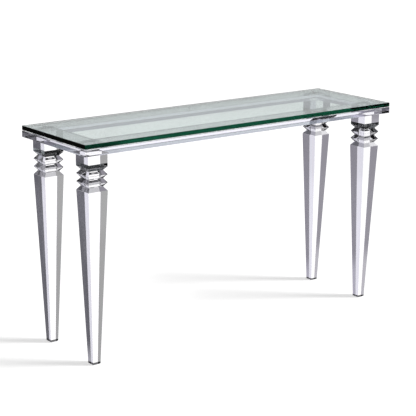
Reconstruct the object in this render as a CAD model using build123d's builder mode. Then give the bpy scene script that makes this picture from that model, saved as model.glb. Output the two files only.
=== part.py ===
from build123d import *
import os

# Console table: a loose glass top on a clear acrylic frame, carried by four square turned legs.
# Millimetres. The origin is on the floor under the middle of the table, +X runs along its
# length, -Y is its front and +Z is up.

# Overall size
table_length = 1335
table_depth = 395
table_height = 760

# Glass top, with polished arrises, resting on thin clear bumpers
glass_thickness = 15
glass_arris = 1
glass_corner_radius = 2
bumper_diameter = 10
bumper_height = 1.8
bumper_clearance = 0.2

# Frame of four rails, flush with the edges of the glass
rail_thickness = 22
rail_width = 86
rail_arris = 0.8

# Legs: a square block, two double-bevelled rings and a tapered shaft, all on one centre line
leg_side = 74
leg_inset = 26
neck_side = 52.6
foot_side = 30
block_straight = 46.5
block_bevel_height = 11.9
bevel_height = 13.4

# Foot pads
pad_side = 25
pad_thickness = 2
pad_arris = 0.5

# Levels, from the top down
glass_bottom = table_height - glass_thickness
frame_top = glass_bottom - bumper_clearance - bumper_height
frame_bottom = frame_top - rail_thickness
block_edge = frame_bottom - block_straight
upper_neck = block_edge - block_bevel_height
upper_ring_edge = upper_neck - bevel_height
middle_neck = upper_ring_edge - bevel_height
lower_ring_edge = middle_neck - bevel_height
lower_neck = lower_ring_edge - bevel_height
shoulder = lower_neck - bevel_height

# Plan positions
rail_line_y = (table_depth - rail_width) / 2
rail_line_x = (table_length - rail_width) / 2
leg_x = table_length / 2 - leg_inset - leg_side / 2
leg_y = table_depth / 2 - leg_inset - leg_side / 2


def save(piece, name):
    """Label a finished piece and write its STEP file."""
    piece.part.label = name
    export_step(piece.part, f"parts/{name}.step")


def glass_top():
    with BuildPart() as top:
        with BuildSketch(Plane.XY.offset(glass_bottom)):
            RectangleRounded(table_length, table_depth, glass_corner_radius)
        extrude(amount=glass_thickness)
        flat_faces = top.faces().filter_by(Axis.Z)
        chamfer(flat_faces.edges(), glass_arris)
    return top


def long_rail(side):
    """A rail the full length of the table, with every edge broken that the end rails leave open."""
    with BuildPart() as rail:
        with BuildSketch(Plane((0, side * rail_line_y, frame_bottom))):
            Rectangle(table_length, rail_width)
        extrude(amount=rail_thickness)
        outer_face = rail.faces().sort_by(Axis.Y)[-1 if side > 0 else 0]
        end_edges = rail.edges().filter_by(Axis.Y)
        chamfer(outer_face.edges() + end_edges, rail_arris)
    return rail


def end_rail(side):
    """A short rail, butted between the two long ones."""
    with BuildPart() as rail:
        with BuildSketch(Plane((side * rail_line_x, 0, frame_bottom))):
            Rectangle(rail_width, table_depth - 2 * rail_width)
        extrude(amount=rail_thickness)
        outer_face = rail.faces().sort_by(Axis.X)[-1 if side > 0 else 0]
        chamfer(outer_face.edges().filter_by(Axis.Y), rail_arris)
    return rail


def top_bumpers():
    """Clear discs stuck to the frame over the legs and half way along the long rails."""
    with BuildPart() as bumpers:
        with BuildSketch(Plane.XY.offset(frame_top)):
            with GridLocations(leg_x, 2 * rail_line_y, 3, 2):
                Circle(bumper_diameter / 2)
        extrude(amount=bumper_height)
    return bumpers


def square_section(x, y, levels):
    """A square piece centred on (x, y), straight or bevelled between each level and the next."""
    with BuildPart() as piece:
        for (low, low_side), (high, high_side) in zip(levels, levels[1:]):
            with BuildSketch(Plane((x, y, low))):
                Rectangle(low_side, low_side)
            with BuildSketch(Plane((x, y, high))):
                Rectangle(high_side, high_side)
            loft()
    return piece


def leg_block(x, y):
    return square_section(x, y, [(upper_neck, neck_side), (block_edge, leg_side), (frame_bottom, leg_side)])


def leg_ring(x, y, bottom_neck, edge, top_neck):
    return square_section(x, y, [(bottom_neck, neck_side), (edge, leg_side), (top_neck, neck_side)])


def leg_shaft(x, y):
    return square_section(x, y, [(pad_thickness, foot_side), (shoulder, leg_side), (lower_neck, neck_side)])


def foot_pad(x, y):
    with BuildPart() as pad:
        with BuildSketch(Plane((x, y, 0))):
            Rectangle(pad_side, pad_side)
        extrude(amount=pad_thickness)
        chamfer(pad.edges().filter_by(Axis.Z), pad_arris)
    return pad


os.makedirs("parts", exist_ok=True)

save(glass_top(), "glass_top")
save(top_bumpers(), "glass_bumpers")
save(long_rail(-1), "front_rail")
save(long_rail(1), "back_rail")
save(end_rail(-1), "left_rail")
save(end_rail(1), "right_rail")

for depth_name, y in (("front", -leg_y), ("back", leg_y)):
    for side_name, x in (("left", -leg_x), ("right", leg_x)):
        corner = f"{depth_name}_{side_name}"
        save(leg_block(x, y), f"{corner}_leg_block")
        save(leg_ring(x, y, middle_neck, upper_ring_edge, upper_neck), f"{corner}_leg_upper_ring")
        save(leg_ring(x, y, lower_neck, lower_ring_edge, middle_neck), f"{corner}_leg_lower_ring")
        save(leg_shaft(x, y), f"{corner}_leg_shaft")
        save(foot_pad(x, y), f"{corner}_foot_pad")
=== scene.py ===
import math

import bmesh
import bpy
from mathutils import Matrix, Vector


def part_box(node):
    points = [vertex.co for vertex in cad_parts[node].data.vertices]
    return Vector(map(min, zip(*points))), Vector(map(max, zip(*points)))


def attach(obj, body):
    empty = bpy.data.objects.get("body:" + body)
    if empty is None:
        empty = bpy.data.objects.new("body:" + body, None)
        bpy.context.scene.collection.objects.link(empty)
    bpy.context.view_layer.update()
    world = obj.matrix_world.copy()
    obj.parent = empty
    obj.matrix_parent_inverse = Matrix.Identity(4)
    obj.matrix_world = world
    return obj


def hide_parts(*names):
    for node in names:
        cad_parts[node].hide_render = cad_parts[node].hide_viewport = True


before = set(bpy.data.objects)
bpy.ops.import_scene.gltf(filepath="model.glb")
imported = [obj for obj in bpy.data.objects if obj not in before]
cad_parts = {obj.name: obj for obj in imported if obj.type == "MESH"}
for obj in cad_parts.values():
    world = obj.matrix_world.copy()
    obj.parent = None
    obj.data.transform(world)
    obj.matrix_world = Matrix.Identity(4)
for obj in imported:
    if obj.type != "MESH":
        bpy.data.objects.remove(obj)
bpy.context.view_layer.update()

# Looks of the console table: a clear glass top, loose on a bonded acrylic frame and four square
# bevelled acrylic legs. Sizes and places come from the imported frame. Metres.

CORNERS = [f"{depth}_{side}" for depth in ("front", "back") for side in ("left", "right")]
LEG_PARTS = ("leg_block", "leg_upper_ring", "leg_lower_ring", "leg_shaft")
LONG_RAILS = ("front_rail", "back_rail")
RAILS = LONG_RAILS + ("left_rail", "right_rail")

# Rounded and broken edges, and the air between pads and feet: the boxes of the frame don't show them
GLASS_CORNER_RADIUS = 0.002
GLASS_ARRIS = 0.001
RAIL_ARRIS = 0.0008
LEG_ARRIS = 0.0006
PAD_CORNER_RADIUS = 0.001
PAD_ARRIS = 0.0003
PAD_GAP = 0.00005

# Places closer than this are one place; boxes this close touch, and widths this close are equal
SAME_PLACE = 0.0001
TOUCHING = 0.00001

# Edges at least this sharp are broken: those of a bevelled piece, and the rims of a plate
SHARP_EDGE = math.radians(20)
SHARP_RIM = math.radians(60)

# A direction counts as level or upright when its z is this close to 1
LEVEL = 0.99

# Material slots of the acrylic meshes; the third holds the side faces, whose darker tint is painted
# shade
CAST, BONDED, SHADED_SIDE = range(3)


# ---------------------------------------------------------------- camera

CAMERA_PLACE = (-2.847, -3.649, 1.620)
CAMERA_YAW = math.radians(-37.68)
CAMERA_PITCH = math.radians(-14.6)
CAMERA_ROLL = math.radians(0.51)
CAMERA_LENS = 115.06
CAMERA_SENSOR = 36


def add_camera():
    """Long-lens view from the left of the front, a little above the table."""
    forward = Vector((
        -math.sin(CAMERA_YAW) * math.cos(CAMERA_PITCH),
        math.cos(CAMERA_YAW) * math.cos(CAMERA_PITCH),
        math.sin(CAMERA_PITCH),
    ))
    level_right = forward.cross(Vector((0, 0, 1))).normalized()
    level_up = level_right.cross(forward)
    right = level_right * math.cos(CAMERA_ROLL) + level_up * math.sin(CAMERA_ROLL)
    up = level_up * math.cos(CAMERA_ROLL) - level_right * math.sin(CAMERA_ROLL)
    data = bpy.data.cameras.new("camera")
    data.lens = CAMERA_LENS
    data.sensor_width = CAMERA_SENSOR
    data.clip_end = 100
    camera = bpy.data.objects.new("camera", data)
    axes = Matrix((right, up, -forward)).transposed()
    camera.matrix_world = Matrix.Translation(CAMERA_PLACE) @ axes.to_4x4()
    bpy.context.scene.collection.objects.link(camera)
    bpy.context.scene.camera = camera


# ---------------------------------------------------------------- node helpers

def new_material(name):
    material = bpy.data.materials.new(name)
    material.use_nodes = True
    tree = material.node_tree
    tree.nodes.clear()
    return material, tree


def add_node(tree, kind, **settings):
    node = tree.nodes.new(kind)
    for key, value in settings.items():
        setattr(node, key, value)
    return node


def object_noise(tree, scale, detail):
    """Noise laid out in the piece's own space, so it stays with the piece in every pose."""
    place = add_node(tree, "ShaderNodeTexCoord")
    noise = add_node(tree, "ShaderNodeTexNoise")
    noise.inputs["Scale"].default_value = scale
    noise.inputs["Detail"].default_value = detail
    tree.links.new(place.outputs["Object"], noise.inputs["Vector"])
    return noise


def map_range(tree, source, low, high):
    node = add_node(tree, "ShaderNodeMapRange")
    node.inputs["To Min"].default_value = low
    node.inputs["To Max"].default_value = high
    tree.links.new(source, node.inputs["Value"])
    return node.outputs["Result"]


# ---------------------------------------------------------------- materials

GLASS_IOR = 1.52
ACRYLIC_IOR = 1.49
SILICONE_IOR = 1.41


def glass_like(name, tint, ior, haze, wave):
    """A polished clear solid: its roughness and its faint waviness both come from noise."""
    material, tree = new_material(name)
    shader = add_node(tree, "ShaderNodeBsdfPrincipled")
    shader.inputs["Base Color"].default_value = (*tint, 1)
    shader.inputs["Transmission Weight"].default_value = 1
    shader.inputs["IOR"].default_value = ior
    polish = object_noise(tree, 14, 3)
    tree.links.new(map_range(tree, polish.outputs["Fac"], 0, haze), shader.inputs["Roughness"])
    ripple = object_noise(tree, 9, 1)
    bump = add_node(tree, "ShaderNodeBump")
    bump.inputs["Strength"].default_value = 1
    bump.inputs["Distance"].default_value = wave
    tree.links.new(ripple.outputs["Fac"], bump.inputs["Height"])
    tree.links.new(bump.outputs["Normal"], shader.inputs["Normal"])
    output = add_node(tree, "ShaderNodeOutputMaterial")
    tree.links.new(shader.outputs["BSDF"], output.inputs["Surface"])
    return material, tree, output


def clear_glass():
    """Float glass: nearly colourless across its thickness, deep green along it."""
    material, tree, output = glass_like("clear_glass", (0.89, 0.88, 0.89), GLASS_IOR, 0.006, 0.00001)
    absorption = add_node(tree, "ShaderNodeVolumeAbsorption")
    absorption.inputs["Color"].default_value = (0.01, 0.6, 0.45, 1)
    absorption.inputs["Density"].default_value = 10
    tree.links.new(absorption.outputs["Volume"], output.inputs["Volume"])
    return material


def clear_acrylic():
    """The cast faces of the acrylic."""
    return glass_like("clear_acrylic", (0.99, 0.985, 1), ACRYLIC_IOR, 0.01, 0.00002)[0]


def shaded_side_acrylic():
    """The side faces, flame-polished: a little rougher and more wavy than the cast ones, and tinted
    darker lavender as painted shade.
    """
    return glass_like("shaded_side_acrylic", (0.7, 0.69, 0.77), ACRYLIC_IOR, 0.02, 0.00004)[0]


def shaded_rail_side_acrylic():
    """The side faces of the long rails, diamond-polished: tinted a light lavender as painted shade,
    lighter than the shade painted on the other side faces.
    """
    return glass_like("shaded_rail_side_acrylic", (0.86, 0.85, 0.93), ACRYLIC_IOR, 0.015, 0.00003)[0]


def solvent_bond():
    """The faces where two acrylic pieces are bonded: light goes straight from one to the other."""
    material, tree = new_material("solvent_bond")
    shader = add_node(tree, "ShaderNodeBsdfTransparent")
    film = object_noise(tree, 40, 3)
    tree.links.new(map_range(tree, film.outputs["Fac"], 0.96, 1), shader.inputs["Color"])
    output = add_node(tree, "ShaderNodeOutputMaterial")
    tree.links.new(shader.outputs["BSDF"], output.inputs["Surface"])
    return material


def clear_rubber():
    """Translucent silicone of the bumpers and foot pads."""
    material, tree = new_material("clear_rubber")
    shader = add_node(tree, "ShaderNodeBsdfPrincipled")
    shader.inputs["Base Color"].default_value = (0.8, 0.81, 0.83, 1)
    shader.inputs["Transmission Weight"].default_value = 0.7
    shader.inputs["IOR"].default_value = SILICONE_IOR
    grain = object_noise(tree, 400, 2)
    tree.links.new(map_range(tree, grain.outputs["Fac"], 0.25, 0.5), shader.inputs["Roughness"])
    output = add_node(tree, "ShaderNodeOutputMaterial")
    tree.links.new(shader.outputs["BSDF"], output.inputs["Surface"])
    return material


# ---------------------------------------------------------------- meshes

def add_piece(name, mesh_data, body, slot, materials, *nodes):
    """Link a finished bmesh as a piece that stands for some CAD nodes."""
    mesh = bpy.data.meshes.new(name)
    mesh_data.to_mesh(mesh)
    mesh_data.free()
    for material in materials:
        mesh.materials.append(material)
    piece = bpy.data.objects.new(name, mesh)
    bpy.context.scene.collection.objects.link(piece)
    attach(piece, body)
    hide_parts(*nodes)
    return piece


def box_mesh(low, high):
    shape = bmesh.new()
    bmesh.ops.create_cube(shape, size=1)
    for vertex in shape.verts:
        vertex.co = Vector(
            high[axis] if vertex.co[axis] > 0 else low[axis] for axis in range(3)
        )
    return shape


def outline_levels(name):
    """The (height, width) pairs of a square CAD piece: its two ends and its widest band."""
    spans = {}
    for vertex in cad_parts[name].data.vertices:
        spans.setdefault(round(vertex.co.z, 4), []).append(vertex.co.x)
    widths = {height: max(across) - min(across) for height, across in spans.items()}
    widest = [height for height in widths if widths[height] > max(widths.values()) - TOUCHING]
    heights = {min(widths), min(widest), max(widest), max(widths)}
    return [(height, widths[height]) for height in sorted(heights)]


def square_mesh(centre, levels):
    """A closed stack of squares, each (height, side), centred on one vertical line."""
    shape = bmesh.new()
    loops = []
    for height, side in levels:
        half = side / 2
        corners = ((-half, -half), (half, -half), (half, half), (-half, half))
        loops.append([shape.verts.new((centre[0] + x, centre[1] + y, height)) for x, y in corners])
    for lower, upper in zip(loops, loops[1:]):
        for index in range(4):
            following = (index + 1) % 4
            shape.faces.new((lower[index], lower[following], upper[following], upper[index]))
    shape.faces.new(loops[0][::-1])
    shape.faces.new(loops[-1])
    return shape


def cut(shape, axis, position):
    """Cut every face that crosses a plane square to an axis."""
    point = Vector((0, 0, 0))
    point[axis] = position
    normal = Vector((0, 0, 0))
    normal[axis] = 1
    everything = shape.verts[:] + shape.edges[:] + shape.faces[:]
    bmesh.ops.bisect_plane(shape, geom=everything, dist=1e-6, plane_co=point, plane_no=normal)


def mark_bonds(shape, low, high):
    """Give the bond material to the faces that lie inside a thin box round a bonded joint."""
    for face in shape.faces:
        centre = face.calc_center_median()
        if all(low[axis] - SAME_PLACE < centre[axis] < high[axis] + SAME_PLACE for axis in range(3)):
            face.material_index = BONDED


def mark_ends(shape, *directions):
    """Give the bond material to the level faces that look up (1) or down (-1)."""
    for face in shape.faces:
        if any(face.normal.z * direction > LEVEL for direction in directions):
            face.material_index = BONDED


def mark_shaded_sides(shape, *axes):
    """Give the side material to the open faces that look along the given axes: their darker tint is
    painted shade.
    """
    for face in shape.faces:
        if face.material_index == CAST and any(abs(face.normal[axis]) > 0.5 for axis in axes):
            face.material_index = SHADED_SIDE


def break_edges(shape, width):
    """Round the sharp edges that are left open; edges of bonded faces stay as they are."""
    sharp = [
        edge for edge in shape.edges
        if edge.calc_face_angle(0) > SHARP_EDGE
        and all(face.material_index != BONDED for face in edge.link_faces)
    ]
    bmesh.ops.bevel(
        shape, geom=sharp, offset=width, offset_type="OFFSET", segments=2, profile=0.5,
        affect="EDGES", clamp_overlap=True,
    )


def overlap(first, second):
    """The box, usually flat, that two node boxes share where they meet, or None."""
    low = Vector(max(first[0][axis], second[0][axis]) for axis in range(3))
    high = Vector(min(first[1][axis], second[1][axis]) for axis in range(3))
    if any(low[axis] > high[axis] + TOUCHING for axis in range(3)):
        return None
    return low, high


def bond(shape, low, high, neighbours):
    """Divide the faces of a piece round its joints with other nodes and mark the bonded parts."""
    joints = [overlap((low, high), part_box(name)) for name in neighbours]
    joints = [joint for joint in joints if joint is not None]
    for joint_low, joint_high in joints:
        for axis in (0, 1):
            for position in (joint_low[axis], joint_high[axis]):
                if low[axis] + SAME_PLACE < position < high[axis] - SAME_PLACE:
                    cut(shape, axis, position)
    for joint_low, joint_high in joints:
        mark_bonds(shape, joint_low, joint_high)


# ---------------------------------------------------------------- pieces

def add_rail(name, materials):
    low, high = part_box(name)
    shape = box_mesh(low, high)
    others = [rail for rail in RAILS if rail != name]
    bond(shape, low, high, others + [f"{corner}_leg_block" for corner in CORNERS])
    mark_shaded_sides(shape, 0, 1)
    break_edges(shape, RAIL_ARRIS)
    piece = add_piece(name + "_acrylic", shape, "base", "clear_acrylic", materials, name)
    piece.visible_shadow = False


def add_leg_part(corner, part, materials):
    name = f"{corner}_{part}"
    low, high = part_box(name)
    centre = (low + high) / 2
    shape = square_mesh(centre, outline_levels(name))
    bmesh.ops.recalc_face_normals(shape, faces=shape.faces[:])
    if part == "leg_block":
        bond(shape, low, high, RAILS)
        mark_ends(shape, -1)
    elif part == "leg_shaft":
        mark_ends(shape, 1)
    else:
        mark_ends(shape, -1, 1)
    mark_shaded_sides(shape, 0)
    break_edges(shape, LEG_ARRIS)
    add_piece(name + "_acrylic", shape, "base", "clear_acrylic", materials, name)


def plate_mesh(low, high, corner_radius, arris):
    """A flat plate with round corners and a small chamfer along its rims."""
    shape = box_mesh(low, high)
    upright = [e for e in shape.edges if abs((e.verts[0].co - e.verts[1].co).normalized().z) > LEVEL]
    bmesh.ops.bevel(shape, geom=upright, offset=corner_radius, offset_type="OFFSET", segments=4,
                    profile=0.5, affect="EDGES")
    rims = [edge for edge in shape.edges if edge.calc_face_angle(0) > SHARP_RIM]
    bmesh.ops.bevel(shape, geom=rims, offset=arris, offset_type="OFFSET", segments=1, profile=0.5,
                    affect="EDGES")
    return shape


def add_glass_top(material):
    low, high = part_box("glass_top")
    shape = plate_mesh(low, high, GLASS_CORNER_RADIUS, GLASS_ARRIS)
    plate = add_piece("glass_top_plate", shape, "top", "clear_glass", [material], "glass_top")
    plate.visible_shadow = False


def add_foot_pad(corner, material):
    """A pad a hair's breadth below the foot: the air between them keeps the foot clear."""
    name = f"{corner}_foot_pad"
    low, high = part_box(name)
    top = high - Vector((0, 0, PAD_GAP))
    shape = plate_mesh(low, top, PAD_CORNER_RADIUS, PAD_ARRIS)
    add_piece(name + "_silicone", shape, "base", "clear_rubber", [material], name)


# ---------------------------------------------------------------- studio

# What the clear parts see round them. Light that has only passed through them comes from a bright
# sweep, a little dimmer outside the backdrop, under a dark ceiling. Light that a face has turned
# aside inside a part comes from grey flats too, which draw the edges of the legs, and light that a
# part mirrors on its outside comes from a haze above and a dark floor in front. Each flat is its
# azimuth and half-width, its lowest and highest elevation, in degrees (azimuth 0 is +X and 90 is
# +Y), and its colour. Where flats overlap, the later one covers the earlier.
TURNED_FLATS = {
    "haze": (0, 180, 5, 26, (0.6, 0.59, 0.62)),
    "back_gap": (53, 12, 17, 26, (0.17, 0.17, 0.17)),
    "left_gap": (130, 16, 2, 26, (0.0, 0.0, 0.0)),
    "right_gap": (-52, 14, 2, 26, (0.04, 0.04, 0.04)),
    "front_softbox": (-127, 35, -2, 26, (0.45, 0.45, 0.45)),
    "front": (-112, 48, -60, -5, (0.12, 0.12, 0.13)),
    "back": (45, 25, -40, -15, (0.06, 0.06, 0.065)),
    "back_far": (100, 14, -40, -19, (0.25, 0.25, 0.26)),
    "back_left": (68, 12, -15, 0, (0.35, 0.35, 0.36)),
    "back_middle": (50, 6, -15, 0, (1.0, 1.0, 1.02)),
    "left_near": (122, 8, -40, 0, (0.4, 0.4, 0.4)),
    "left_far": (137, 7, -40, 0, (0.3, 0.29, 0.33)),
    "left_far_floor": (137, 7, -22, -10.7, (0.54, 0.53, 0.57)),
    "right_near": (-58, 7, -40, 0, (0.2, 0.2, 0.21)),
    "right_near_floor": (-58, 7, -22, -14, (0.6, 0.6, 0.61)),
    "right_far": (-44, 8, -40, 0, (0.39, 0.38, 0.4)),
    "right_far_floor": (-44, 8, -22, -11, (0.66, 0.65, 0.69)),
}
MIRRORED_FLATS = {
    "haze": (0, 180, 5, 26, (0.62, 0.61, 0.61)),
    "left_floor": (145, 40, -90, 2, (0.03, 0.03, 0.03)),
    "front_floor": (-90, 85, -90, 2, (0.03, 0.03, 0.03)),
}

# The sweep and the ceiling from straight down to straight up: the colour above each band of
# elevations, over which it takes the place of the colour below.
SWEEP_BELOW = (0.95, 0.95, 0.96)
SWEEP_BANDS = (
    (-75, -40, (0.6, 0.6, 0.62)),
    (-36, -22, (1.2, 1.2, 1.2)),
    (-10.8, -10.2, (1.12, 1.12, 1.12)),
)
SWEEP_AROUND = (0.88, 0.88, 0.9)
BACKDROP = (50, 25, -90, 10)
CEILING_BAND = (3, 8, (0.015, 0.015, 0.015))

# The softness of the edges of the flats, in degrees. Light that has been reflected more often than
# WORN_AFTER keeps only the share WORN of its strength.
FLAT_EDGE = 0.5
WORN_AFTER = 3.5
WORN = 0.5


def calculate(tree, operation, *values):
    node = add_node(tree, "ShaderNodeMath", operation=operation)
    for socket, value in zip(node.inputs, values):
        if isinstance(value, (int, float)):
            socket.default_value = value
        else:
            tree.links.new(value, socket)
    return node.outputs[0]


def ramp(tree, value, start, end):
    """Smoothly 0 to 1 as the value goes from start to end."""
    node = add_node(tree, "ShaderNodeMapRange", interpolation_type="SMOOTHSTEP")
    node.inputs["From Min"].default_value = start
    node.inputs["From Max"].default_value = end
    tree.links.new(value, node.inputs["Value"])
    return node.outputs["Result"]


def blend_colour(tree, below, above, factor):
    node = add_node(tree, "ShaderNodeMix", data_type="RGBA")
    tree.links.new(factor, node.inputs["Factor"])
    for socket, colour in ((node.inputs[6], below), (node.inputs[7], above)):
        if isinstance(colour, tuple):
            socket.default_value = (*colour, 1)
        else:
            tree.links.new(colour, socket)
    return node.outputs[2]


def flat_mask(tree, azimuth, elevation, centre, half_width, low, high):
    """1 inside a flat and 0 outside it."""
    offset = calculate(tree, "SUBTRACT", azimuth, centre)
    away = calculate(tree, "ABSOLUTE", calculate(tree, "WRAP", offset, 180, -180))
    inside = ramp(tree, away, half_width + FLAT_EDGE, half_width)
    above_low = ramp(tree, elevation, low - FLAT_EDGE, low + FLAT_EDGE)
    below_high = ramp(tree, elevation, high + FLAT_EDGE, high - FLAT_EDGE)
    return calculate(tree, "MULTIPLY", inside, calculate(tree, "MULTIPLY", above_low, below_high))


def add_world():
    """White to the camera; to everything else the sweep, the ceiling and the flats."""
    world = bpy.data.worlds.new("studio")
    bpy.context.scene.world = world
    world.use_nodes = True
    tree = world.node_tree
    tree.nodes.clear()
    place = add_node(tree, "ShaderNodeTexCoord")
    parts = add_node(tree, "ShaderNodeSeparateXYZ")
    tree.links.new(place.outputs["Generated"], parts.inputs["Vector"])
    turn = calculate(tree, "ARCTAN2", parts.outputs["Y"], parts.outputs["X"])
    azimuth = calculate(tree, "DEGREES", turn)
    elevation = calculate(tree, "DEGREES", calculate(tree, "ARCSINE", parts.outputs["Z"]))
    colour = SWEEP_BELOW
    for start, end, colour_above in SWEEP_BANDS:
        colour = blend_colour(tree, colour, colour_above, ramp(tree, elevation, start, end))
    backdrop = flat_mask(tree, azimuth, elevation, *BACKDROP)
    colour = blend_colour(tree, SWEEP_AROUND, colour, backdrop)
    start, end, ceiling = CEILING_BAND
    colour = blend_colour(tree, colour, ceiling, ramp(tree, elevation, start, end))
    rays = add_node(tree, "ShaderNodeLightPath")
    reflections = rays.outputs["Glossy Depth"]
    mirrored = rays.outputs["Is Reflection Ray"]
    turned = calculate(tree, "GREATER_THAN", reflections, 0.5)
    turned = calculate(tree, "MULTIPLY", turned, calculate(tree, "SUBTRACT", 1, mirrored))
    for flats, seen_by in ((TURNED_FLATS, turned), (MIRRORED_FLATS, mirrored)):
        for centre, half_width, low, high, flat_colour in flats.values():
            mask = flat_mask(tree, azimuth, elevation, centre, half_width, low, high)
            share = calculate(tree, "MULTIPLY", mask, seen_by)
            colour = blend_colour(tree, colour, flat_colour, share)
    colour = blend_colour(tree, colour, (1.0, 1.0, 1.0), rays.outputs["Is Camera Ray"])
    background = add_node(tree, "ShaderNodeBackground")
    tree.links.new(colour, background.inputs["Color"])
    worn = calculate(tree, "GREATER_THAN", reflections, WORN_AFTER)
    tree.links.new(map_range(tree, worn, 1, WORN), background.inputs["Strength"])
    output = add_node(tree, "ShaderNodeOutputWorld")
    tree.links.new(background.outputs["Background"], output.inputs["Surface"])
    world.cycles.sampling_method = "NONE"


FLOOR_HALF_SIDE = 30
FLOOR_GREY = 0.8
FLOOR_GLOW = 0.63
KEY_STRENGTH = 2.3
KEY_WIDTH = math.radians(16)
TOWARDS_KEY = (0.79, -0.61, 1.0)


def add_floor():
    """A pale floor that the camera sees; the clear parts see the sweep of the world instead."""
    shape = bmesh.new()
    bmesh.ops.create_grid(shape, x_segments=1, y_segments=1, size=FLOOR_HALF_SIDE)
    mesh = bpy.data.meshes.new("floor")
    shape.to_mesh(mesh)
    shape.free()
    floor = bpy.data.objects.new("floor", mesh)
    bpy.context.scene.collection.objects.link(floor)
    material, tree = new_material("floor")
    lit = add_node(tree, "ShaderNodeBsdfDiffuse")
    lit.inputs["Color"].default_value = (FLOOR_GREY, FLOOR_GREY, FLOOR_GREY, 1)
    glow = add_node(tree, "ShaderNodeEmission")
    glow.inputs["Strength"].default_value = FLOOR_GLOW
    both = add_node(tree, "ShaderNodeAddShader")
    tree.links.new(lit.outputs["BSDF"], both.inputs[0])
    tree.links.new(glow.outputs["Emission"], both.inputs[1])
    output = add_node(tree, "ShaderNodeOutputMaterial")
    tree.links.new(both.outputs["Shader"], output.inputs["Surface"])
    mesh.materials.append(material)
    floor.visible_transmission = False
    floor.visible_glossy = False


def add_key_light():
    """A soft low light from the right, which lays the shadows of the legs to the left."""
    data = bpy.data.lights.new("key", "SUN")
    data.energy = KEY_STRENGTH
    data.angle = KEY_WIDTH
    key = bpy.data.objects.new("key", data)
    key.rotation_mode = "QUATERNION"
    key.rotation_quaternion = Vector(TOWARDS_KEY).to_track_quat("Z", "Y")
    key.visible_glossy = False
    key.visible_transmission = False
    bpy.context.scene.collection.objects.link(key)


def set_tracing():
    """Enough bounces for light to find its way out of the clear parts."""
    scene = bpy.context.scene
    scene.cycles.max_bounces = 64
    scene.cycles.transmission_bounces = 64
    scene.cycles.glossy_bounces = 32
    scene.cycles.transparent_max_bounces = 64
    scene.view_settings.view_transform = "Standard"


# ---------------------------------------------------------------- build

add_camera()
add_world()
add_floor()
add_key_light()
set_tracing()

glass = clear_glass()
cast_face = clear_acrylic()
bonded_face = solvent_bond()
long_acrylic = [cast_face, bonded_face, shaded_rail_side_acrylic()]
short_acrylic = [cast_face, bonded_face, shaded_side_acrylic()]
rubber = clear_rubber()

add_glass_top(glass)
for rail in RAILS:
    add_rail(rail, long_acrylic if rail in LONG_RAILS else short_acrylic)

for corner in CORNERS:
    for part in LEG_PARTS:
        add_leg_part(corner, part, short_acrylic)
    add_foot_pad(corner, rubber)

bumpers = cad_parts["glass_bumpers"]
bumpers.data.materials.clear()
bumpers.data.materials.append(rubber)
